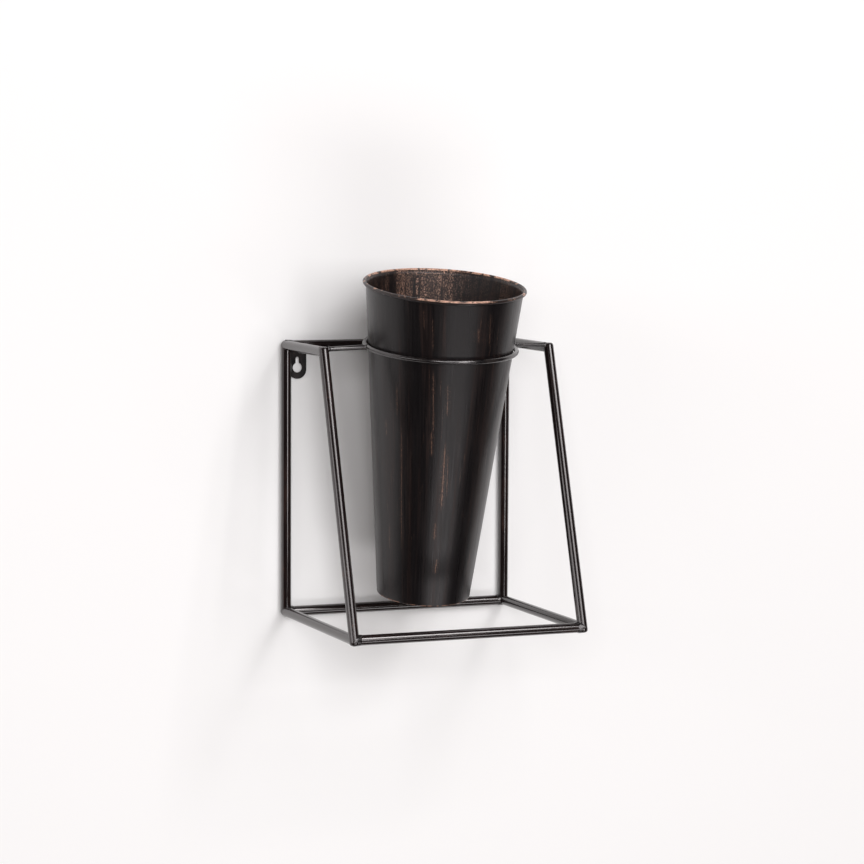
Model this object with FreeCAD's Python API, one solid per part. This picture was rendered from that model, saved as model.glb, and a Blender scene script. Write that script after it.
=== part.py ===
import FreeCAD, Part
import math
import os
from FreeCAD import Vector

# Wall planter: a tapered steel pot that hangs in a wire ring, on a welded frame of round bar.
# The origin is midway between the two keyhole heads, on the wall plane Y = 0.
# X runs to the right, -Y out of the wall and Z up. Lengths are millimetres, angles degrees.

# ---- Frame of round bar ----
bar_d = 10.0            # diameter of the bar
frame_w = 240.0         # between the axes of the left and right bars
frame_h = 271.0         # between the axes of the bottom and top bars
base_depth = 198.0      # rear bars' axis to the leg's axis, at the bottom
top_depth = 111.0       # rear bars' axis to the leg's axis, at the top
bar_end_round = 3.0     # dressed edge of a bar's free end
cope_gap = 0.05         # clearance of a coped bar's end from the bar that it fits round
root_gap = 0.4          # gap between a rail's square end and the bars of the side, filled by the weld
frame_bead = 0.8        # how far a weld bead stands on a rail
frame_bead_w = 3.2      # how far it spreads from the bar that the rail is welded to

# ---- Keyhole hanger tabs ----
tab_t = 2.0             # plate thickness
tab_w = 18.0            # plate width
tab_drop = 34.0         # lowest point of the plate below the top rail's axis
head_d = 10.0           # round hole that passes over a screw's head
head_up = 11.0          # centre of that hole above the plate's lowest point
slot_w = 4.0            # slot that holds the screw's shank
slot_rise = 9.0         # centre of the slot's round end above the round hole's centre
tab_bead_r = 1.4        # weld bead in the corner between plate and bar
tab_bead_share = 0.8    # share of the plate's width that the bead at the rail covers

# ---- Wire ring and its two rods ----
wire_d = 4.8            # diameter of the wire
ring_tilt = 8.0         # lean of the ring away from the wall
ring_rise = 0.6         # ring's centre above the rods' ends at the legs
ring_ahead = 6.7        # ring's centre ahead of the rods' ends at the legs
wire_bead = 0.7         # how far a weld bead stands on a rod
wire_bead_w = 1.2       # how far it spreads from what the rod is welded to
rod_bite = 1.5          # how far the rods reach past the legs' flanks, on to the rounded heads

# ---- Pot ----
pot_nod = 1.7           # lean of the pot beyond the ring's own
pot_h = 315.0           # base edge to the middle of the rim bead, along the pot's axis
mouth_d = 156.2         # outside of the sheet at the rim
base_d = 94.2           # outside of the sheet at the base
sheet_t = 0.8           # steel sheet
rim_above_ring = 61.2   # middle of the rim bead above the ring's centre
rim_bead_d = 3.6        # curled bead round the mouth
rim_bead_out = 1.1      # centre line of the bead outside the sheet
seat_gap = 0.5          # clearance between the pot and the ring, were they in line
floor_up = 3.0          # underside of the pot's floor above the base edge
floor_t = 0.8           # thickness of the floor and of its turned-down flange

# ---- Places that follow from the sizes ----
bar_r = bar_d / 2
wire_r = wire_d / 2
side_x = frame_w / 2
rear_y = -bar_r                                 # the rear bars touch the wall
top_z = tab_drop - head_up                      # the keyhole heads are at Z = 0
base_z = top_z - frame_h
leg_base_y = rear_y - base_depth
leg_top_y = rear_y - top_depth
tab_flank = math.sqrt(bar_r ** 2 - (bar_r - tab_t) ** 2)    # bar's half width at the plate's face
tab_x = side_x - tab_flank - tab_w / 2
tab_top_z = top_z - tab_flank
rod_z = top_z + bar_r - wire_r                  # the rods end flush with the top of the legs
ring_centre = Vector(0, leg_top_y - ring_ahead, rod_z + ring_rise)
ring_axis = Vector(0, -math.sin(math.radians(ring_tilt)), math.cos(math.radians(ring_tilt)))
pot_tilt = ring_tilt + pot_nod

taper = (mouth_d - base_d) / 2 / pot_h          # change of radius per length of axis
slope = math.sqrt(1 + taper * taper)
pot_r_at_ring = mouth_d / 2 - taper * rim_above_ring
ring_r = pot_r_at_ring + (wire_r + seat_gap) * slope
sheet_across = sheet_t * slope                  # sheet thickness measured square to the axis
base_below_ring = pot_h - rim_above_ring

AXIS_X = Vector(1, 0, 0)
AXIS_Z = Vector(0, 0, 1)


def rod(start, end, radius):
    """Round bar from one point to another."""
    run = end - start
    return Part.makeCylinder(radius, run.Length, start, run)


def dress(shape, is_end):
    """Round the edges of a bar that lie in the planes of its free ends."""
    ends = [edge for edge in shape.Edges if is_end(edge.BoundBox)]
    return shape.makeFillet(bar_end_round, ends)


def cut_all(shape, tools):
    for tool in tools:
        shape = shape.cut(tool)
    return shape


def slanted(side, radius):
    """Round bar along a leg's axis, longer than the leg at both ends."""
    foot = Vector(side * side_x, leg_base_y, base_z)
    head = Vector(side * side_x, leg_top_y, top_z)
    reach = (head - foot) * (2 * bar_d / frame_h)
    return rod(foot - reach, head + reach, radius)


def leg(side):
    """Slanting front leg, cut level and dressed at both ends."""
    low = base_z - bar_r
    high = top_z + bar_r
    slab = Part.makeBox(2 * bar_d, base_depth + 4 * bar_d, high - low,
                        Vector(side * side_x - bar_d, leg_base_y - 2 * bar_d, low))
    return dress(slanted(side, bar_r).common(slab), lambda box: box.ZLength < 0.01)


def arm(side, front_y, z):
    """Bar from the wall to the leg, dressed at the wall and coped on to the leg."""
    bar = rod(Vector(side * side_x, 0, z), Vector(side * side_x, front_y, z), bar_r)
    return dress(bar, lambda box: box.YMin > -0.01).cut(slanted(side, bar_r + cope_gap))


def upright(side):
    """Rear bar between the two arms of a side, coped at both ends."""
    bar = rod(Vector(side * side_x, rear_y, base_z), Vector(side * side_x, rear_y, top_z), bar_r)
    arms = [rod(Vector(side * side_x, -bar_d, z), Vector(side * side_x, 0, z), bar_r + cope_gap)
            for z in (base_z, top_z)]
    return cut_all(bar, arms)


def rail(y, z):
    """Cross bar cut square, a root gap short of the bars of both sides."""
    end_x = side_x - bar_r - root_gap
    return rod(Vector(-end_x, y, z), Vector(end_x, y, z), bar_r)


def bead_round(core, host, bars):
    """Weld bead round and under a bar's end: near both the bar and its host."""
    pieces = cut_all(core.common(host), bars).Solids
    return max(pieces, key=lambda piece: piece.Volume)


def hanger_tab(side):
    """Plate with a keyhole, its back on the wall, its edges on the top rail and the upright."""
    half = tab_w / 2
    low_z = top_z - tab_drop
    x = side * tab_x
    depth = Vector(0, -1, 0)
    square = Part.makeBox(tab_w, tab_t, tab_top_z - low_z - half,
                          Vector(x - half, -tab_t, low_z + half))
    round_end = Part.makeCylinder(half, tab_t, Vector(x, 0, low_z + half), depth)
    head = Part.makeCylinder(head_d / 2, tab_t, Vector(x, 0, 0), depth)
    slot_end = Part.makeCylinder(slot_w / 2, tab_t, Vector(x, 0, slot_rise), depth)
    slot = Part.makeBox(slot_w, tab_t, slot_rise, Vector(x - slot_w / 2, -tab_t, 0))
    return square.fuse(round_end).cut(head.fuse([slot_end, slot])).removeSplitter()


def tab_beads(side, neighbours):
    """Weld beads in front of the plate: along its top edge and along its edge at the upright."""
    edge_x = side * (tab_x + tab_w / 2)
    half = tab_bead_share * tab_w / 2
    before_plate = Part.makeBox(2 * frame_w, bar_d, 2 * frame_h, Vector(-frame_w, -tab_t - bar_d, -frame_h))
    top_middle = Vector(side * tab_x, -tab_t, tab_top_z)
    runs = (
        (top_middle - AXIS_X * half, top_middle + AXIS_X * half),
        (Vector(edge_x, -tab_t, tab_top_z - tab_w), Vector(edge_x, -tab_t, tab_top_z - tab_bead_r)),
    )
    beads = []
    for start, end in runs:
        pieces = cut_all(rod(start, end, tab_bead_r).common(before_plate), neighbours).Solids
        beads.append(max(pieces, key=lambda piece: piece.Volume))
    return beads


def ring_torus(radius):
    """Wire ring, or the ring grown by a weld bead."""
    return Part.makeTorus(ring_r, radius, ring_centre, ring_axis)


def ring_point(side):
    """Point of the ring's centre line straight across from the head of a leg."""
    back = ring_ahead / ring_axis.z
    across = math.sqrt(ring_r ** 2 - back ** 2)
    return Vector(side * across, leg_top_y, ring_centre.z - back * ring_axis.y)


def lean(shape):
    """Set a shape made upright about the ring's centre at the pot's tilt."""
    shape.rotate(Vector(0, 0, 0), AXIS_X, pot_tilt)
    shape.translate(ring_centre)
    return shape


def pot_cone(inset, low, high):
    """Solid inside the pot's outer surface, inset square to the axis, between two heights."""
    low_r = pot_r_at_ring + taper * low - inset
    high_r = pot_r_at_ring + taper * high - inset
    return Part.makeCone(low_r, high_r, high - low, Vector(0, 0, low), AXIS_Z)


def pot_wall():
    low = -base_below_ring
    high = rim_above_ring
    return pot_cone(0, low, high).cut(pot_cone(sheet_across, low, high))


def pot_rim_bead(wall):
    centre_line_r = mouth_d / 2 + rim_bead_out
    bead = Part.makeTorus(centre_line_r, rim_bead_d / 2, Vector(0, 0, rim_above_ring), AXIS_Z)
    return bead.cut(wall)


def pot_floor():
    """Dished floor: a disc whose flange is turned down inside the sheet to the base edge."""
    low = -base_below_ring
    under = low + floor_up
    blank = pot_cone(sheet_across, low, under + floor_t)
    return blank.cut(pot_cone(sheet_across + floor_t * slope, low, under))


def build():
    sides = {-1: "left", 1: "right"}
    nodes = {}
    before_tabs = Part.makeBox(2 * frame_w, 2 * base_depth, 2 * frame_h,
                               Vector(-frame_w, -tab_t - 2 * base_depth, base_z - bar_d))

    legs = {side: leg(side) for side in sides}
    top_arms = {side: arm(side, leg_top_y, top_z) for side in sides}
    bottom_arms = {side: arm(side, leg_base_y, base_z) for side in sides}
    uprights = {side: upright(side) for side in sides}
    for side, name in sides.items():
        nodes[name + "_front_leg"] = legs[side]
        nodes[name + "_top_arm"] = top_arms[side]
        nodes[name + "_bottom_arm"] = bottom_arms[side]
        nodes[name + "_rear_upright"] = uprights[side]

    rails = {
        "rear_top_rail": (rear_y, top_z),
        "rear_bottom_rail": (rear_y, base_z),
        "front_bottom_rail": (leg_base_y, base_z),
    }
    for name, (y, z) in rails.items():
        nodes[name] = rail(y, z)

    tabs = {side: hanger_tab(side) for side in sides}
    grown = bar_r + frame_bead_w
    bars = list(nodes.values())
    beads = []
    for y, z in rails.values():
        for side in sides:
            corner = Vector(side * side_x, y, z)
            stem_top = leg_top_y if y == leg_base_y else rear_y
            stem_base = leg_base_y if y == leg_base_y else rear_y
            stem = rod(Vector(corner.x, stem_base, base_z), Vector(corner.x, stem_top, top_z), grown)
            side_arm = rod(Vector(corner.x, rear_y, z), Vector(corner.x, leg_base_y, z), grown)
            core = rod(corner, Vector(0, y, z), bar_r + frame_bead).common(before_tabs)
            beads.append(bead_round(core, stem.fuse(side_arm), bars))
    nodes["frame_weld_beads"] = Part.makeCompound(beads)

    ring = ring_torus(wire_r)
    ring_grown = ring_torus(wire_r + wire_bead_w)
    ring_beads = []
    for side, name in sides.items():
        leg_end = Vector(side * (side_x - bar_r + rod_bite), leg_top_y, rod_z)
        ring_end = ring_point(side)
        neighbours = [legs[side], top_arms[side], ring]
        ring_rod = cut_all(rod(leg_end, ring_end, wire_r), neighbours)
        nodes[name + "_ring_rod"] = ring_rod
        core = rod(leg_end, ring_end, wire_r + wire_bead)
        leg_head = Vector(side * side_x, leg_top_y, top_z)
        leg_grown = rod(leg_head, leg_head + AXIS_Z * bar_d, bar_r + wire_bead_w)
        for host in (leg_grown, ring_grown):
            ring_beads.append(bead_round(core, host, [*neighbours, ring_rod]))
    nodes["pot_ring"] = ring
    nodes["ring_weld_beads"] = Part.makeCompound(ring_beads)

    hanger_beads = []
    for side, name in sides.items():
        nodes[name + "_hanger_tab"] = tabs[side]
        hanger_beads += tab_beads(side, [nodes["rear_top_rail"], uprights[side], tabs[side], *beads])
    nodes["hanger_weld_beads"] = Part.makeCompound(hanger_beads)

    wall = pot_wall()
    nodes["pot_rim_bead"] = lean(pot_rim_bead(wall))
    nodes["pot_wall"] = lean(wall)
    nodes["pot_floor"] = lean(pot_floor())
    return nodes


os.makedirs("parts", exist_ok=True)
for node, shape in build().items():
    shape.exportStep("parts/" + node + ".step")
    print(node, len(shape.Solids), "solid", round(shape.Volume, 1), "mm3", shape.isValid())
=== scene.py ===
import math

import bmesh
import bpy
from mathutils import Matrix, Vector, noise


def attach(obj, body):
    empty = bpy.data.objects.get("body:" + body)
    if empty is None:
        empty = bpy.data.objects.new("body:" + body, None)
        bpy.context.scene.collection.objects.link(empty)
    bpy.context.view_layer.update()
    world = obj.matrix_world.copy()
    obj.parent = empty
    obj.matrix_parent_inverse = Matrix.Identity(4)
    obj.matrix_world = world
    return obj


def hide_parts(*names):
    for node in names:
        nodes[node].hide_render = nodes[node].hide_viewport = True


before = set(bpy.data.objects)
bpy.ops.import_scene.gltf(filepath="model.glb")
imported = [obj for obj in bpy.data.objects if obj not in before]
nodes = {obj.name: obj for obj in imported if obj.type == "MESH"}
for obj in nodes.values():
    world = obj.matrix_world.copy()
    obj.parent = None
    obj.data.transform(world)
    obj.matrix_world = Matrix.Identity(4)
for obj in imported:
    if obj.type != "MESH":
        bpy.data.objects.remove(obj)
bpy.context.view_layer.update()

MM = 0.001

# Sizes that the CAD part has too, in millimetres.
BAR_R = 5.0
SIDE_X = 120.0
REAR_Y = -5.0
TOP_Z = 23.0
BASE_Z = -248.0
LEG_BASE_Y = -203.0
LEG_TOP_Y = -116.0
WIRE_R = 2.4
ROD_Z = 25.6
RING_R = 74.99
RING_CENTRE = Vector((0, -122.7, 26.2))
RING_TILT = math.radians(8.0)
POT_TILT = math.radians(9.7)
TAPER = 31.0 / 315.0
MOUTH_R = 78.1
POT_LOW = -253.8
POT_HIGH = 61.2
POT_R = MOUTH_R - TAPER * POT_HIGH
SHEET = 0.8
RIM_BEAD_R = 1.8
RIM_OUT = 1.1          # from the sheet's outer face to the middle of the curled mouth
TAB_X = 107.0
TAB_HALF = 9.0
TAB_TOP = 19.0
TAB_LOW = TOP_Z - 34.0
TAB_T = 2.0
KEYHOLE_R = 5.0
SLOT_R = 2.0
SLOT_UP = 9.0

# Sizes that only the scene has, in millimetres.
TAB_EDGE_R = 0.35
TAB_BEAD_R = 1.4
TOP_BEAD_HALF = 7.4
SIDE_BEAD_ENDS = (1.0, 17.6)
FRAME_BEAD = (3.2, 0.85)     # how far a bead spreads over the bar that carries it, and its height
LEG_BEAD = (1.5, 0.75)
RING_BEAD = (1.6, 0.75)
BEAD_SUNK = 0.9        # a bead starts this deep inside the bar that it is welded to
BEAD_BITE = 0.08       # and its inner edge lies this deep in the bar that it goes round
PLATE_FACE = -0.05     # no weld lump reaches farther back than this
ROD_BEHIND = 6.7       # from the ring's centre back to the line of its rods
LEG_PAST = 6           # the legs' line is followed this far above the top side bars
WALL_BEHIND = 0.6
WALL_HALF = 4000
WALL_ROWS = 90
SHEET_COLUMNS = 288
RIM_COLUMNS = 360
RIM_POINTS = 28


# ---------------------------------------------------------------- mesh helpers

def mesh_object(name, verts, faces, smooth=True):
    """Mesh object from points in millimetres."""
    mesh = bpy.data.meshes.new(name)
    mesh.from_pydata([tuple(c * MM for c in v) for v in verts], [], faces)
    mesh.update()
    for poly in mesh.polygons:
        poly.use_smooth = smooth
    obj = bpy.data.objects.new(name, mesh)
    bpy.context.scene.collection.objects.link(obj)
    return obj


def join_meshes(name, parts):
    """One object from several (verts, faces) pairs, in millimetres."""
    verts, faces = [], []
    for part_verts, part_faces in parts:
        base = len(verts)
        verts += part_verts
        faces += [tuple(base + i for i in face) for face in part_faces]
    return mesh_object(name, verts, faces)


def pot_to_row(x, y, s):
    """Point given from the ring's centre along the pot's axes, brought to the part's frame."""
    c, n = math.cos(POT_TILT), math.sin(POT_TILT)
    return (x + RING_CENTRE.x, y * c - s * n + RING_CENTRE.y, y * n + s * c + RING_CENTRE.z)


def lathe(profile, count, shrink):
    """Closed profile of (radius, height) turned round the pot's axis.

    shrink(angle, height) is how far it is drawn in.
    """
    verts, faces = [], []
    rows = len(profile)
    for i in range(count):
        angle = 2 * math.pi * i / count
        for radius, height in profile:
            r = radius - shrink(angle, height)
            verts.append(pot_to_row(r * math.sin(angle), -r * math.cos(angle), height))
    for i in range(count):
        j = (i + 1) % count
        for k in range(rows):
            m = (k + 1) % rows
            faces.append((i * rows + k, j * rows + k, j * rows + m, i * rows + m))
    return verts, faces


def grid_faces(rows, columns):
    """Faces of a tube made of rows of points, each row a closed loop."""
    faces = []
    for i in range(rows - 1):
        low, high = i * columns, (i + 1) * columns
        for k in range(columns):
            m = (k + 1) % columns
            faces.append((low + k, low + m, high + m, high + k))
    return faces


def side_directions(axis):
    """Two directions square to the axis and to each other."""
    first = axis.orthogonal().normalized()
    return first, axis.cross(first).normalized()


def to_segment(point, start, end):
    """Distance from a point to a straight bar's centre line."""
    run = end - start
    share = max(0.0, min(1.0, (point - start).dot(run) / run.length_squared))
    return (point - start - run * share).length


# ---------------------------------------------------------------- weld beads

def weld_collar(origin, axis, radius, host_gap, bead, seed):
    """Lumpy bead round a bar's end.

    host_gap(point) is the distance to the surface that it is welded to.
    """
    spread, height = bead
    first, second = side_directions(axis)
    columns, rows = 72, 11
    steps = [0.1 * i for i in range(140)]
    inner, outer = [], []
    for k in range(columns):
        angle = 2 * math.pi * k / columns
        ray = origin + (first * math.cos(angle) + second * math.sin(angle)) * radius
        gaps = [host_gap(ray + axis * t) for t in steps]
        inner.append(max([t for t, gap in zip(steps, gaps) if gap < 0.0] + [0.0]))
        outer.append(max([t for t, gap in zip(steps, gaps) if gap < spread] + [0.5]))
    verts = []
    for row in range(rows):
        share = row / (rows - 1)
        for k in range(columns):
            angle = 2 * math.pi * k / columns
            out = first * math.cos(angle) + second * math.sin(angle)
            probe = Vector((math.cos(angle) * 1.6, math.sin(angle) * 1.6, seed * 7.3))
            wander = noise.noise(probe * 1.3)
            lump = noise.noise(probe * 2.7 + Vector((0, 0, share * 1.5)))
            ripple = math.sin(angle * 15 + 2.4 * wander) * 0.5 + 0.5
            end = outer[k] + 0.55 * wander * spread / FRAME_BEAD[0]
            start = inner[k] - BEAD_SUNK
            along = start + (end - start) * share
            rise = height * math.sqrt(max(0.0, 1 - share ** 2.2))
            rise *= 0.80 + 0.30 * lump - 0.10 * ripple
            verts.append(origin + axis * along + out * (radius - BEAD_BITE + rise))
    return [tuple(v) for v in verts], grid_faces(rows, columns)


def weld_run(start, end, radius, seed):
    """Lumpy bead along a straight edge, tapered at both ends."""
    axis = (end - start).normalized()
    first, second = side_directions(axis)
    columns, rows = 20, 44
    length = (end - start).length
    verts = []
    for row in range(rows):
        share = row / (rows - 1)
        blunt = math.sqrt(max(0.0, 1 - abs(2 * share - 1) ** 9))
        centre = start + axis * (length * share)
        for k in range(columns):
            angle = 2 * math.pi * k / columns
            out = first * math.cos(angle) + second * math.sin(angle)
            probe = Vector((share * length * 0.45, math.cos(angle), math.sin(angle) + seed * 5.1))
            lump = noise.noise(probe)
            ripple = math.sin(share * length * 3.1)
            verts.append(centre + out * radius * blunt * (0.86 + 0.16 * lump + 0.05 * ripple))
    faces = grid_faces(rows, columns)
    faces.append(tuple(range(columns)))
    faces.append(tuple((rows - 1) * columns + k for k in reversed(range(columns))))
    return [tuple(v) for v in verts], faces


def frame_welds():
    """Beads at both ends of the three cross bars."""
    # Cross bar's place in Y and Z, then Y at the base and the top of the upright or leg at its end.
    rails = (
        (REAR_Y, TOP_Z, REAR_Y, REAR_Y),
        (REAR_Y, BASE_Z, REAR_Y, REAR_Y),
        (LEG_BASE_Y, BASE_Z, LEG_BASE_Y, LEG_TOP_Y),
    )
    parts = []
    for index, (y, z, stem_base, stem_top) in enumerate(rails):
        arm_end = LEG_BASE_Y if z == BASE_Z else LEG_TOP_Y
        for side in (-1, 1):
            x = side * SIDE_X
            stem = (Vector((x, stem_base, BASE_Z)), Vector((x, stem_top, TOP_Z)))
            arm = (Vector((x, REAR_Y, z)), Vector((x, arm_end, z)))

            def gap(point, stem=stem, arm=arm):
                return min(to_segment(point, *stem), to_segment(point, *arm)) - BAR_R

            inward = Vector((-side, 0, 0))
            seed = index * 2 + side
            verts, faces = weld_collar(Vector((x, y, z)), inward, BAR_R, gap, FRAME_BEAD, seed)
            parts.append(([(a, min(b, PLATE_FACE), c) for a, b, c in verts], faces))
    return parts


def ring_gap(point):
    """Distance from a point to the wire ring's surface."""
    axis = Vector((0, -math.sin(RING_TILT), math.cos(RING_TILT)))
    offset = point - RING_CENTRE
    height = offset.dot(axis)
    flat = (offset - axis * height).length
    return math.hypot(flat - RING_R, height) - WIRE_R


def ring_welds():
    """Beads at both ends of the two rods that carry the ring."""
    back = ROD_BEHIND / math.cos(RING_TILT)
    across = math.sqrt(RING_R ** 2 - back ** 2)
    ring_z = RING_CENTRE.z + back * math.sin(RING_TILT)
    parts = []
    for side in (-1, 1):
        x = side * SIDE_X
        leg_end = Vector((x, LEG_TOP_Y, ROD_Z))
        ring_end = Vector((side * across, LEG_TOP_Y, ring_z))
        run = (ring_end - leg_end).normalized()
        leg_line = (Vector((x, LEG_BASE_Y, BASE_Z)), Vector((x, LEG_TOP_Y, TOP_Z + LEG_PAST)))

        def leg_gap(point, leg_line=leg_line):
            return to_segment(point, *leg_line) - BAR_R

        parts.append(weld_collar(leg_end, run, WIRE_R, leg_gap, LEG_BEAD, 11 + side))
        parts.append(weld_collar(ring_end, -run, WIRE_R, ring_gap, RING_BEAD, 15 + side))
    return parts


def hanger_welds():
    """Beads along each plate's upper edge and its edge beside the upright."""
    parts = []
    for side in (-1, 1):
        middle, edge = side * TAB_X, side * (TAB_X + TAB_HALF)
        upper = [Vector((middle + x, -TAB_T, TAB_TOP)) for x in (-TOP_BEAD_HALF, TOP_BEAD_HALF)]
        beside = [Vector((edge, -TAB_T, z)) for z in SIDE_BEAD_ENDS]
        parts.append(weld_run(*upper, TAB_BEAD_R, 21 + side))
        parts.append(weld_run(*beside, TAB_BEAD_R, 25 + side))
    return parts


# ---------------------------------------------------------------- pot and plates

def dents(angle, height):
    """How far the hand-worked sheet is drawn in, in millimetres."""
    around = Vector((math.cos(angle) * 1.7, math.sin(angle) * 1.7, height / 95.0))
    return 0.14 * (1 + noise.noise(around)) + 0.05 * (1 + noise.noise(around * 4.0))


def cone_r(height):
    """Outer radius of the pot's sheet."""
    return POT_R + TAPER * height


def pot_wall_profile():
    """Sheet with a rounded lower edge, as far up as the bead round the mouth."""
    outer, inner, edge = [], [], []
    half = SHEET / 2
    low = POT_LOW + half
    for i in range(WALL_ROWS + 1):
        height = low + (POT_HIGH - low) * i / WALL_ROWS
        outer.append((cone_r(height), height))
        inner.append((cone_r(height) - SHEET, height))
    for i in range(1, 8):
        turn = math.pi * i / 8
        edge.append((cone_r(low) - half - half * math.cos(turn), low - half * math.sin(turn)))
    return outer + inner[::-1] + edge


def rim_profile():
    """Round section of the curled mouth."""
    centre = MOUTH_R + RIM_OUT
    turns = [2 * math.pi * i / RIM_POINTS for i in range(RIM_POINTS)]
    return [(centre + RIM_BEAD_R * math.cos(t), POT_HIGH + RIM_BEAD_R * math.sin(t)) for t in turns]


def rim_wander(angle, height):
    """Small unevenness of the curled mouth."""
    around = Vector((math.cos(angle) * 5.0, math.sin(angle) * 5.0, height / 3.0))
    return 0.07 * (1 + noise.noise(around)) + 0.04 * (1 + noise.noise(around * 3.3))


def plate_outline(side):
    """Outline of a keyhole plate and of its keyhole, as points in X and Z."""
    outline = [(TAB_HALF, TAB_TOP), (-TAB_HALF, TAB_TOP)]
    for i in range(33):
        turn = math.pi + math.pi * i / 32
        outline.append((TAB_HALF * math.cos(turn), TAB_LOW + TAB_HALF + TAB_HALF * math.sin(turn)))
    hole = []
    start = math.asin(SLOT_R / KEYHOLE_R)
    for i in range(41):
        turn = math.pi / 2 + start + (2 * math.pi - 2 * start) * i / 40
        hole.append((KEYHOLE_R * math.cos(turn), KEYHOLE_R * math.sin(turn)))
    for i in range(13):
        turn = math.pi * i / 12
        hole.append((SLOT_R * math.cos(turn), SLOT_UP + SLOT_R * math.sin(turn)))
    x = side * TAB_X
    return [(x + a, b) for a, b in outline], [(x + a, b) for a, b in hole]


def offset_loop(points, distance):
    """Closed loop moved square to itself."""
    moved = []
    count = len(points)
    for i in range(count):
        ax, az = points[i - 1]
        bx, bz = points[(i + 1) % count]
        px, pz = points[i]
        first = Vector((px - ax, pz - az)).normalized()
        second = Vector((bx - px, bz - pz)).normalized()
        n1, n2 = Vector((first.y, -first.x)), Vector((second.y, -second.x))
        middle = (n1 + n2).normalized()
        share = max(0.5, middle.dot(n1))
        moved.append((px + middle.x * distance / share, pz + middle.y * distance / share))
    return moved


def hanger_tab_mesh(name, side):
    """Plate with softened edges: rounded strips along both outlines and two flat faces."""
    bm = bmesh.new()
    full, part = TAB_EDGE_R, TAB_EDGE_R * 0.3
    steps = (   # Y, and how far the loop is drawn in there
        (0.0, full), (-part, part), (-full, 0.0),
        (-TAB_T + full, 0.0), (-TAB_T + part, part), (-TAB_T, full),
    )
    caps = {"front": [], "back": []}
    for loop in plate_outline(side):
        rings = []
        for y, inward in steps:
            points = offset_loop(loop, inward)
            rings.append([bm.verts.new((x * MM, y * MM, z * MM)) for x, z in points])
        count = len(loop)
        for a, b in zip(rings, rings[1:]):
            for i in range(count):
                j = (i + 1) % count
                bm.faces.new((a[i], a[j], b[j], b[i]))
        caps["back"].append(rings[0])
        caps["front"].append(rings[-1])
    for rings in caps.values():
        pairs = [pair for ring in rings for pair in zip(ring, ring[1:] + ring[:1])]
        edges = [bm.edges.get(pair) for pair in pairs]
        bmesh.ops.triangle_fill(bm, edges=edges, use_beauty=True)
    bmesh.ops.recalc_face_normals(bm, faces=bm.faces[:])
    mesh = bpy.data.meshes.new(name)
    bm.to_mesh(mesh)
    bm.free()
    for poly in mesh.polygons:
        poly.use_smooth = True
    mesh.set_sharp_from_angle(angle=math.radians(50))
    obj = bpy.data.objects.new(name, mesh)
    bpy.context.scene.collection.objects.link(obj)
    return obj


# ---------------------------------------------------------------- materials

class Shader:
    """Builds a node material: values may be numbers, colours or the outputs of other nodes."""

    def __init__(self, name):
        self.material = bpy.data.materials.new(name)
        self.material.use_nodes = True
        self.tree = self.material.node_tree
        self.tree.nodes.clear()

    def node(self, kind, settings=None, **inputs):
        made = self.tree.nodes.new(kind)
        for key, value in (settings or {}).items():
            setattr(made, key, value)
        for key, value in inputs.items():
            self.put(made, key, value)
        return made

    def put(self, made, key, value):
        """Sets or links an input by its name, or by its number, written as i0, i1 and so on."""
        by_number = key[0] == "i" and key[1:].isdigit()
        socket = made.inputs[int(key[1:]) if by_number else key.replace("_", " ")]
        if isinstance(value, bpy.types.NodeSocket):
            self.tree.links.new(value, socket)
        else:
            socket.default_value = value

    def math(self, operation, a, b=0.0, c=0.0):
        return self.node("ShaderNodeMath", {"operation": operation}, i0=a, i1=b, i2=c).outputs[0]

    def vector(self, operation, a, b=(0, 0, 0)):
        return self.node("ShaderNodeVectorMath", {"operation": operation}, i0=a, i1=b)

    def step(self, value, low, high):
        """0 below low, 1 above high, smooth between."""
        made = self.node("ShaderNodeMapRange", {"interpolation_type": "SMOOTHSTEP"},
                         i0=value, i1=low, i2=high)
        return made.outputs[0]

    def noise(self, vector, scale, detail=2.0, rough=0.5):
        made = self.node("ShaderNodeTexNoise", None, Vector=vector, Scale=scale, Detail=detail,
                         Roughness=rough)
        return made.outputs["Fac"]

    def stretch(self, vector, scale):
        return self.vector("MULTIPLY", vector, scale).outputs[0]

    def mix(self, share, a, b):
        made = self.node("ShaderNodeMix", {"data_type": "RGBA"}, i0=share)
        self.put(made, "i6", a)
        self.put(made, "i7", b)
        return made.outputs[2]

    def blend(self, share, a, b):
        """Number between a and b."""
        made = self.node("ShaderNodeMix", {"data_type": "FLOAT"}, i0=share)
        self.put(made, "i2", a)
        self.put(made, "i3", b)
        return made.outputs[0]

    def bump(self, height, strength, distance, normal=None):
        made = self.node("ShaderNodeBump", None, Strength=strength, Distance=distance,
                         Height=height)
        if normal is not None:
            self.put(made, "Normal", normal)
        return made.outputs[0]

    def surface(self, colour, metallic, roughness, normal, specular=0.5):
        shader = self.node("ShaderNodeBsdfPrincipled", None, Base_Color=colour, Metallic=metallic,
                           Roughness=roughness, Normal=normal)
        shader.inputs["Specular IOR Level"].default_value = specular
        shader.inputs["Specular Tint"].default_value = SHINE_TINT
        out = self.node("ShaderNodeOutputMaterial")
        self.tree.links.new(shader.outputs[0], out.inputs[0])
        return self.material


def rgb(r, g, b):
    return (r, g, b, 1.0)


PAINT_DARK = rgb(0.0045, 0.0034, 0.0038)
PAINT_BROWN = rgb(0.040, 0.019, 0.014)
COPPER = rgb(0.42, 0.235, 0.165)
COPPER_BRIGHT = rgb(0.80, 0.47, 0.34)
COPPER_DIM = rgb(0.13, 0.065, 0.045)
WIRE_BROWN = rgb(0.020, 0.016, 0.015)
SHINE_TINT = rgb(1.0, 0.96, 0.965)
POT_SHINE = 0.40
BAR_SHINE = 0.95
PLATE_SHINE = 0.22
STREAK_TWIST = 0.55    # radians that the pot's streaks lean per metre of height


def row_points(shader):
    """The point itself, in metres."""
    return shader.node("ShaderNodeTexCoord").outputs["Object"]


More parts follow.
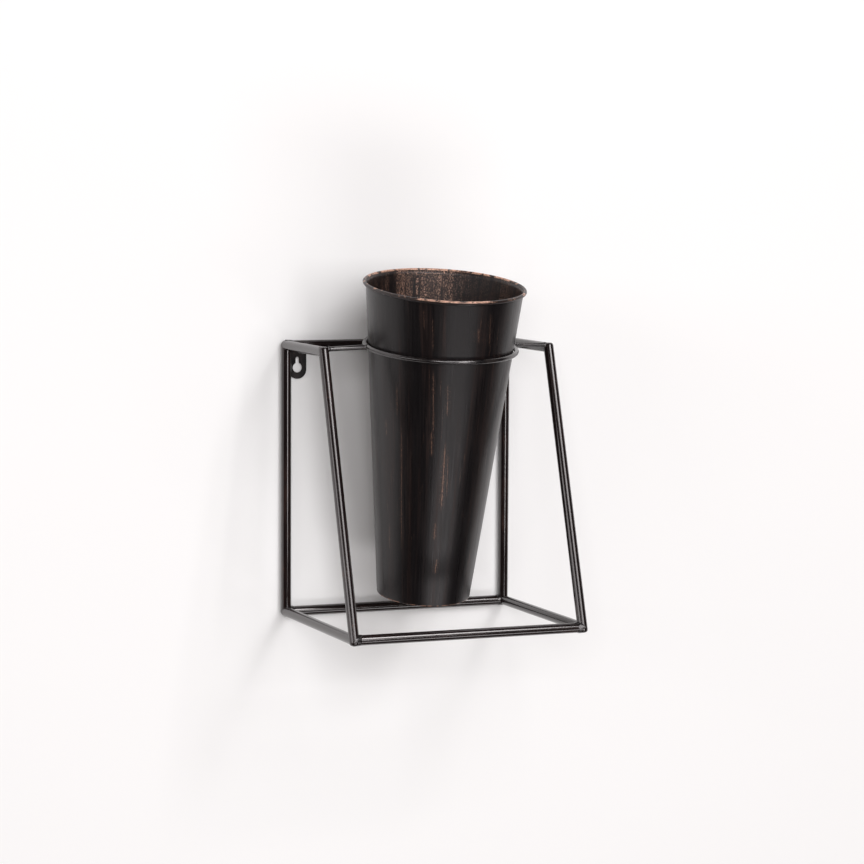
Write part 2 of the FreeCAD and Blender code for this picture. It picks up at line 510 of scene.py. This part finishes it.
def pot_points(shader):
    """Point on a unit circle round the pot's axis, then the angle, height and radius there."""
    centre = tuple(c * MM for c in RING_CENTRE)
    offset = shader.vector("SUBTRACT", row_points(shader), centre).outputs[0]
    turned = shader.node("ShaderNodeVectorRotate", {"rotation_type": "X_AXIS"}, Vector=offset,
                         Angle=-POT_TILT)
    split = shader.node("ShaderNodeSeparateXYZ", None, i0=turned.outputs[0])
    x, y, height = split.outputs
    radius = shader.math("MULTIPLY_ADD", height, TAPER, POT_R * MM)
    unit = shader.node("ShaderNodeCombineXYZ", None, X=shader.math("DIVIDE", x, radius),
                       Y=shader.math("DIVIDE", y, radius), Z=height).outputs[0]
    angle = shader.math("ARCTAN2", x, shader.math("MULTIPLY", y, -1.0))
    return unit, angle, height, radius


# Scratches that go through the pot's paint: angle from the front and height at both ends
# (degrees, millimetres from the ring), width in millimetres and strength.
SCRATCHES = (
    (-30.0, 46.5, -28.1, 10.6, 0.55, 0.40),
    (-27.2, -3.5, -23.5, -78.8, 0.60, 0.85),
    (-25.2, -68.6, -23.8, -97.0, 0.95, 0.80),
    (-12.6, -77.1, -10.5, -156.0, 1.25, 0.95),
    (-9.4, -90.5, -6.3, -140.5, 0.60, 0.70),
    (-15.3, -163.8, -15.1, -184.0, 0.80, 0.80),
    (-10.2, -201.8, -10.8, -219.0, 1.05, 0.90),
    (-53.0, -60.0, -50.3, -205.0, 0.75, 0.55),
    (-67.0, -171.7, -66.5, -201.0, 0.60, 0.50),
    (5.2, 36.0, 7.1, 19.8, 2.60, 0.30),
    (13.9, 52.0, 17.3, 14.0, 1.70, 0.25),
    (-57.8, -23.2, -57.2, -62.0, 0.80, 0.50),
    (-70.3, -65.1, -69.6, -84.0, 1.00, 0.50),
    (-14.8, -19.7, -12.7, -56.0, 1.10, 0.45),
    (-37.0, 53.0, -35.3, 31.0, 1.10, 0.22),
)


def scratch_mask(shader, angle, height, radius, fine, spread=1.0):
    """Strength of the scratches at a point, broken up by fine; spread widens them."""
    total = None
    for a0, h0, a1, h1, width, strength in SCRATCHES:
        slope = math.radians(a1 - a0) / ((h1 - h0) * MM)
        centre = shader.math("MULTIPLY_ADD", height, slope, math.radians(a0) - slope * h0 * MM)
        off = shader.math("ABSOLUTE", shader.math("SUBTRACT", angle, centre))
        away = shader.math("MULTIPLY", off, radius)
        across = shader.step(away, width * MM * 0.60 * spread, width * MM * 0.10)
        middle, half = (h0 + h1) / 2 * MM, abs(h0 - h1) / 2 * MM
        beyond = shader.math("ABSOLUTE", shader.math("SUBTRACT", height, middle))
        inside = shader.step(beyond, half, half * 0.55)
        mask = shader.math("MULTIPLY", shader.math("MULTIPLY", across, inside), strength)
        total = mask if total is None else shader.math("MAXIMUM", total, mask)
    return shader.math("MULTIPLY", total, fine)


def sector(shader, angle, middle, inner, outer):
    """1 within inner degrees of the middle, 0 beyond outer degrees."""
    turn = shader.math("COSINE", shader.math("SUBTRACT", angle, math.radians(middle)))
    return shader.step(turn, math.cos(math.radians(outer)), math.cos(math.radians(inner)))


def pot_outside():
    """Dark paint with brown streaks, coppery specks, scratches and a worn lower edge."""
    shader = Shader("pot_paint_outside")
    unit, angle, height, radius = pot_points(shader)
    skew = shader.math("MULTIPLY", height, STREAK_TWIST)
    turned = shader.node("ShaderNodeVectorRotate", {"rotation_type": "Z_AXIS"}, Vector=unit,
                         Angle=skew).outputs[0]
    fine = shader.noise(shader.stretch(turned, (52, 52, 16)), 1.0, 3.0, 0.62)
    thin = shader.noise(shader.stretch(turned, (105, 105, 34)), 1.0, 2.0, 0.55)
    broad = shader.noise(shader.stretch(turned, (7.5, 7.5, 5.0)), 1.0, 2.0, 0.5)
    patch = shader.noise(shader.stretch(unit, (2.6, 2.6, 14.0)), 1.0, 2.0, 0.5)
    grain = shader.noise(row_points(shader), 1500.0, 1.0, 0.5)
    dash = shader.noise(shader.stretch(turned, (210, 210, 520)), 1.0, 2.0, 0.6)
    streak = shader.math("MULTIPLY", shader.step(fine, 0.46, 0.68), shader.step(broad, 0.38, 0.62))
    brown = shader.mix(shader.math("MULTIPLY", streak, 0.30), PAINT_DARK, PAINT_BROWN)
    haze = shader.math("MULTIPLY", shader.step(broad, 0.50, 0.72), 0.12)
    paint = shader.mix(haze, brown, PAINT_BROWN)
    speck = shader.math("MULTIPLY", shader.step(thin, 0.635, 0.72), shader.step(patch, 0.50, 0.68))
    speck = shader.math("MULTIPLY", speck, shader.step(grain, 0.40, 0.60))
    broken = shader.math("MULTIPLY_ADD", shader.step(dash, 0.50, 0.58), 0.92, 0.08)
    scratch = scratch_mask(shader, angle, height, radius, broken)
    dots = shader.noise(shader.stretch(turned, (170, 170, 900)), 1.0, 1.0, 0.5)
    dots = shader.step(dots, 0.60, 0.66)
    dotted = scratch_mask(shader, angle, height, radius, dots, spread=7.0)
    scratch = shader.math("MAXIMUM", scratch, shader.math("MULTIPLY", dotted, 0.5))
    edge = shader.math("MULTIPLY", shader.step(height, (POT_LOW + 1.3) * MM, (POT_LOW + 0.3) * MM),
                       shader.step(shader.noise(unit, 14.0, 3.0, 0.6), 0.40, 0.58))
    scratch = shader.math("MULTIPLY", scratch, 0.8)
    bare = shader.math("MAXIMUM", shader.math("MULTIPLY", speck, 0.38), scratch)
    bare = shader.math("MAXIMUM", bare, shader.math("MULTIPLY", edge, 0.6))
    colour = shader.mix(bare, paint, COPPER)
    metallic = shader.math("MULTIPLY", bare, 0.55)
    rough = shader.blend(shader.step(fine, 0.3, 0.7), 0.27, 0.40)
    normal = shader.bump(fine, 0.22, 0.00025)
    normal = shader.bump(thin, 0.10, 0.0001, normal)
    return shader.surface(colour, metallic, rough, normal, POT_SHINE)


# Sectors in degrees: middle, and half widths of the full and of the whole effect.
# The first sector gathers the inner specks at the rear: a painted highlight band standing in for
# light on the inner wall.
SPECK_HIGHLIGHT_SECTOR = (176.0, 6.0, 30.0)
RIM_WEAR = ((-14.0, 14.0, 34.0), (-163.0, 26.0, 62.0), (125.0, 10.0, 40.0))


def pot_inside():
    """Dark inner coat with dense coppery specks drawn out up the wall, densest at the rear as a
    painted highlight band.
    """
    shader = Shader("pot_paint_inside")
    unit, angle, _, _ = pot_points(shader)
    fleck = shader.noise(shader.stretch(unit, (104, 104, 700)), 1.0, 2.0, 0.68)
    coarse = shader.noise(shader.stretch(unit, (16, 16, 60)), 1.0, 3.0, 0.6)
    streak = shader.noise(shader.stretch(unit, (20, 20, 9)), 1.0, 3.0, 0.6)
    broad = shader.noise(shader.stretch(unit, (3.2, 3.2, 4)), 1.0, 2.0, 0.5)
    cloud = shader.math("MULTIPLY_ADD", shader.step(broad, 0.38, 0.62), 0.65, 0.35)
    # Specks thin to a fifth away from the rear: painted highlight, the lit band of the inner wall
    # drawn with denser copper specks.
    painted_highlight_band = shader.math("MULTIPLY_ADD", sector(shader, angle, *SPECK_HIGHLIGHT_SECTOR), 0.80, 0.20)
    share = shader.math("MULTIPLY", shader.step(fleck, 0.53, 0.60), shader.step(streak, 0.36, 0.56))
    share = shader.math("MULTIPLY", shader.math("MULTIPLY", share, cloud), painted_highlight_band)
    stain = shader.math("MULTIPLY", shader.step(coarse, 0.45, 0.65), 0.35)
    tint = shader.mix(stain, PAINT_DARK, PAINT_BROWN)
    colour = shader.mix(share, tint, COPPER_BRIGHT)
    metallic = shader.math("MULTIPLY", share, 0.5)
    rough = shader.blend(fleck, 0.26, 0.42)
    normal = shader.bump(fleck, 0.6, 0.0006)
    return shader.surface(colour, metallic, rough, normal)


def rim_paint():
    """Dark paint on the curled mouth, worn to bright copper along its crest."""
    shader = Shader("rim_paint")
    unit, angle, height, _ = pot_points(shader)
    wear = shader.noise(shader.stretch(unit, (9, 9, 160)), 1.0, 4.0, 0.62)
    fine = shader.noise(row_points(shader), 900.0, 3.0, 0.6)
    crest = shader.step(height, (POT_HIGH - 0.2) * MM, (POT_HIGH + 1.0) * MM)
    rubbed = None
    for worn_sector in RIM_WEAR:
        here = sector(shader, angle, *worn_sector)
        rubbed = here if rubbed is None else shader.math("MAXIMUM", rubbed, here)
    wear = shader.math("MULTIPLY_ADD", rubbed, 0.13, wear)
    broken = shader.math("MULTIPLY_ADD", shader.step(fine, 0.36, 0.60), 0.6, 0.4)
    total = shader.math("MULTIPLY", crest, shader.step(wear, 0.53, 0.63))
    total = shader.math("MULTIPLY", total, broken)
    dark = shader.mix(shader.step(fine, 0.4, 0.7), PAINT_DARK, PAINT_BROWN)
    colour = shader.mix(total, dark, COPPER_BRIGHT)
    metallic = shader.math("MULTIPLY", total, 0.5)
    rough = shader.blend(fine, 0.30, 0.46)
    normal = shader.bump(fine, 0.25, 0.0002)
    return shader.surface(colour, metallic, rough, normal)


def bar_paint(name, direction, brown, rub):
    """Satin paint on a bar: faint lengthwise streaks and small spots worn through to copper."""
    shader = Shader(name)
    points = row_points(shader)
    axis = Vector(direction).normalized()
    euler = axis.to_track_quat("Z", "Y").inverted().to_euler()
    turned = shader.node("ShaderNodeVectorRotate", {"rotation_type": "EULER_XYZ"}, Vector=points,
                         Rotation=tuple(euler)).outputs[0]
    streak = shader.noise(shader.stretch(turned, (420, 420, 22)), 1.0, 3.0, 0.6)
    mottle = shader.noise(points, 55.0, 3.0, 0.55)
    grain = shader.noise(points, 1300.0, 2.0, 0.5)
    spots = shader.noise(shader.stretch(turned, (300, 300, 120)), 1.0, 3.0, 0.6)
    tint = shader.math("MULTIPLY", shader.step(streak, 0.42, 0.70), shader.step(mottle, 0.38, 0.66))
    paint = shader.mix(shader.math("MULTIPLY_ADD", tint, brown, 0.12), PAINT_DARK, PAINT_BROWN)
    worn = shader.math("MULTIPLY", shader.step(spots, 0.66, 0.76), shader.step(mottle, 0.50, 0.64))
    worn = shader.math("MULTIPLY", worn, rub)
    colour = shader.mix(worn, paint, COPPER_DIM)
    rough = shader.blend(shader.step(streak, 0.3, 0.7), 0.11, 0.17)
    normal = shader.bump(grain, 0.05, 0.0001)
    normal = shader.bump(streak, 0.04, 0.0001, normal)
    return shader.surface(colour, shader.math("MULTIPLY", worn, 0.4), rough, normal, BAR_SHINE)


def wire_paint(name, rough_low, rough_high, rub, shine=BAR_SHINE):
    """Satin paint on the ring, its rods, the plates and the welds."""
    shader = Shader(name)
    points = row_points(shader)
    mottle = shader.noise(points, 70.0, 3.0, 0.55)
    grain = shader.noise(points, 1100.0, 3.0, 0.55)
    spots = shader.noise(points, 330.0, 3.0, 0.6)
    worn = shader.math("MULTIPLY", shader.step(spots, 0.62, 0.74), shader.step(mottle, 0.46, 0.62))
    worn = shader.math("MULTIPLY", worn, rub)
    paint = shader.mix(shader.step(mottle, 0.4, 0.7), PAINT_DARK, WIRE_BROWN)
    colour = shader.mix(worn, paint, COPPER_DIM)
    rough = shader.blend(grain, rough_low, rough_high)
    normal = shader.bump(grain, 0.16, 0.00016)
    return shader.surface(colour, shader.math("MULTIPLY", worn, 0.4), rough, normal, shine)


def paint_object(obj, *materials):
    """Gives an object these materials alone."""
    obj.data.materials.clear()
    for material in materials:
        obj.data.materials.append(material)


leg_run = (0, LEG_TOP_Y - LEG_BASE_Y, TOP_Z - BASE_Z)
finishes = {
    "leg": bar_paint("leg_paint", leg_run, 0.35, 0.8),
    "upright": bar_paint("upright_paint", (0, 0, 1), 0.8, 0.6),
    "arm": bar_paint("arm_paint", (0, 1, 0), 0.3, 0.5),
    "rail": bar_paint("rail_paint", (1, 0, 0), 0.5, 0.6),
    "ring": wire_paint("ring_paint", 0.16, 0.25, 0.4),
    "weld": wire_paint("weld_paint", 0.20, 0.34, 0.9),
    "plate": wire_paint("plate_paint", 0.42, 0.58, 0.5, PLATE_SHINE),
}
painted = {
    "leg": ("left_front_leg", "right_front_leg"),
    "upright": ("left_rear_upright", "right_rear_upright"),
    "arm": ("left_top_arm", "right_top_arm", "left_bottom_arm", "right_bottom_arm"),
    "rail": ("rear_top_rail", "rear_bottom_rail", "front_bottom_rail"),
    "ring": ("pot_ring", "left_ring_rod", "right_ring_rod"),
    "weld": ("frame_weld_beads", "ring_weld_beads", "hanger_weld_beads"),
    "plate": ("left_hanger_tab", "right_hanger_tab"),
}
for key, names in painted.items():
    for name in names:
        paint_object(nodes[name], finishes[key])
inside = pot_inside()
outside = pot_outside()
paint_object(nodes["pot_floor"], inside)
paint_object(nodes["pot_wall"], outside)
paint_object(nodes["pot_rim_bead"], outside)


# ---------------------------------------------------------------- modelled pieces

profile = pot_wall_profile()
verts, faces = lathe(profile, SHEET_COLUMNS, dents)
pot_skin = mesh_object("pot_wall_sheet", verts, faces)
paint_object(pot_skin, outside, inside)
for index, poly in enumerate(pot_skin.data.polygons):
    row = index % len(profile)
    poly.material_index = 1 if WALL_ROWS < row <= 2 * WALL_ROWS else 0
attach(pot_skin, "pot")
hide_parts("pot_wall")

verts, faces = lathe(rim_profile(), RIM_COLUMNS, rim_wander)
rim = mesh_object("pot_rim_curl", verts, faces)
paint_object(rim, rim_paint())
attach(rim, "pot")
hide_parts("pot_rim_bead")

for name, parts, node, slot in (
    ("frame_weld_lumps", frame_welds(), "frame_weld_beads", "frame_paint"),
    ("ring_weld_lumps", ring_welds(), "ring_weld_beads", "ring_paint"),
    ("hanger_weld_lumps", hanger_welds(), "hanger_weld_beads", "tab_paint"),
):
    lumps = join_meshes(name, parts)
    paint_object(lumps, finishes["weld"])
    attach(lumps, "frame")
    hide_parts(node)

for name, side in (("left", -1), ("right", 1)):
    plate = hanger_tab_mesh(name + "_hanger_plate", side)
    paint_object(plate, finishes["plate"])
    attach(plate, "frame")
    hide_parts(name + "_hanger_tab")


# ---------------------------------------------------------------- wall, light and camera

WALL_PALE = rgb(0.90, 0.90, 0.90)
WALL_PALER = rgb(0.92, 0.92, 0.92)


def backdrop():
    """Plain pale wall just behind the planter, clear when it is seen from behind."""
    corners = ((-1, -1), (1, -1), (1, 1), (-1, 1))
    points = [(x * WALL_HALF, WALL_BEHIND, z * WALL_HALF) for x, z in corners]
    wall = mesh_object("wall", points, [(0, 1, 2, 3)], smooth=False)
    shader = Shader("wall_paint")
    soft = shader.noise(row_points(shader), 2.5, 2.0, 0.5)
    colour = shader.mix(soft, WALL_PALE, WALL_PALER)
    diffuse = shader.node("ShaderNodeBsdfDiffuse", None, Color=colour).outputs[0]
    clear = shader.node("ShaderNodeBsdfTransparent").outputs[0]
    behind = shader.node("ShaderNodeNewGeometry").outputs["Backfacing"]
    both = shader.node("ShaderNodeMixShader", None, i0=behind, i1=diffuse, i2=clear)
    out = shader.node("ShaderNodeOutputMaterial")
    shader.tree.links.new(both.outputs[0], out.inputs[0])
    wall.data.materials.append(shader.material)


# Soft boxes round the planter: azimuth from the front to the right and elevation, then the width
# and height that each one fills, all in degrees, and its brightness.
LIGHTS = (
    ("camera_side", -22, 12, 14, 14, 9.7),
    ("front", -8, 12, 14, 14, 6.0),
    ("right_front", 12, 5, 13, 26, 7.0),
    ("high_front", 12, 33, 32, 25, 4.15),
    ("high_right", 24, 37, 10, 16, 7.0),
    ("low_front", 10, -40, 46, 15, 3.0),
    ("left_side", -68, 12, 34, 16, 2.6),
)
LIGHT_DISTANCE = 5.0
LIGHT_COLOUR = (1.0, 0.985, 0.99)
LIGHT_AIM = Vector((0, -0.1, -0.1))


def area_light(name, azimuth, elevation, wide, high, brightness):
    """Soft box aimed at the planter."""
    a, e = math.radians(azimuth), math.radians(elevation)
    toward = Vector((math.sin(a) * math.cos(e), -math.cos(a) * math.cos(e), math.sin(e)))
    data = bpy.data.lights.new(name, "AREA")
    data.shape = "RECTANGLE"
    data.size = 2 * LIGHT_DISTANCE * math.tan(math.radians(wide / 2))
    data.size_y = 2 * LIGHT_DISTANCE * math.tan(math.radians(high / 2))
    data.energy = brightness * math.pi * data.size * data.size_y
    data.color = LIGHT_COLOUR
    lamp = bpy.data.objects.new(name, data)
    lamp.location = LIGHT_AIM + toward * LIGHT_DISTANCE
    lamp.rotation_euler = toward.to_track_quat("Z", "Y").to_euler()
    bpy.context.scene.collection.objects.link(lamp)


def world_light():
    """Pale to the camera, with a faint warm fill on the part and a fainter reflection in it."""
    world = bpy.data.worlds.new("room")
    bpy.context.scene.world = world
    world.use_nodes = True
    tree = world.node_tree
    tree.nodes.clear()
    link = tree.links.new

    def background(colour, strength):
        made = tree.nodes.new("ShaderNodeBackground")
        made.inputs["Color"].default_value = colour
        made.inputs["Strength"].default_value = strength
        return made.outputs[0]

    def choose(ray, otherwise, chosen):
        made = tree.nodes.new("ShaderNodeMixShader")
        link(path.outputs[ray], made.inputs[0])
        link(otherwise, made.inputs[1])
        link(chosen, made.inputs[2])
        return made.outputs[0]

    path = tree.nodes.new("ShaderNodeLightPath")
    seen = background(rgb(0.95, 0.95, 0.95), 1.0)
    shine = background(rgb(1.0, 0.97, 1.0), 0.02)
    fill = background(rgb(1.0, 0.86, 0.79), 0.12)
    lit = choose("Is Camera Ray", choose("Is Glossy Ray", fill, shine), seen)
    link(lit, tree.nodes.new("ShaderNodeOutputWorld").inputs[0])


CAMERA_TURN = (-21.997, 5.189, 0.311)     # azimuth, elevation and roll in degrees
CAMERA_PLACE = (-1.096106, -2.814790, 0.205745)
FOCAL_PIXELS = 2948.87
PICTURE_PIXELS = 864
SENSOR = 36.0


def camera():
    """Camera at the photograph's own place."""
    azimuth, elevation, roll = (math.radians(v) for v in CAMERA_TURN)
    flat = math.cos(elevation)
    back = Vector((math.sin(azimuth) * flat, -math.cos(azimuth) * flat, math.sin(elevation)))
    right = (-back).cross(Vector((0, 0, 1))).normalized()
    up = right.cross(-back)
    rolled_right = right * math.cos(roll) + up * math.sin(roll)
    rolled_up = up * math.cos(roll) - right * math.sin(roll)
    data = bpy.data.cameras.new("camera")
    data.sensor_width = SENSOR
    data.lens = FOCAL_PIXELS / PICTURE_PIXELS * SENSOR
    data.clip_start, data.clip_end = 0.05, 50.0
    obj = bpy.data.objects.new("camera", data)
    turn = Matrix((rolled_right, rolled_up, back)).transposed().to_4x4()
    obj.matrix_world = Matrix.Translation(CAMERA_PLACE) @ turn
    bpy.context.scene.collection.objects.link(obj)
    bpy.context.scene.camera = obj


backdrop()
for light in LIGHTS:
    area_light(*light)
world_light()
camera()

bpy.context.scene.view_settings.view_transform = "Standard"
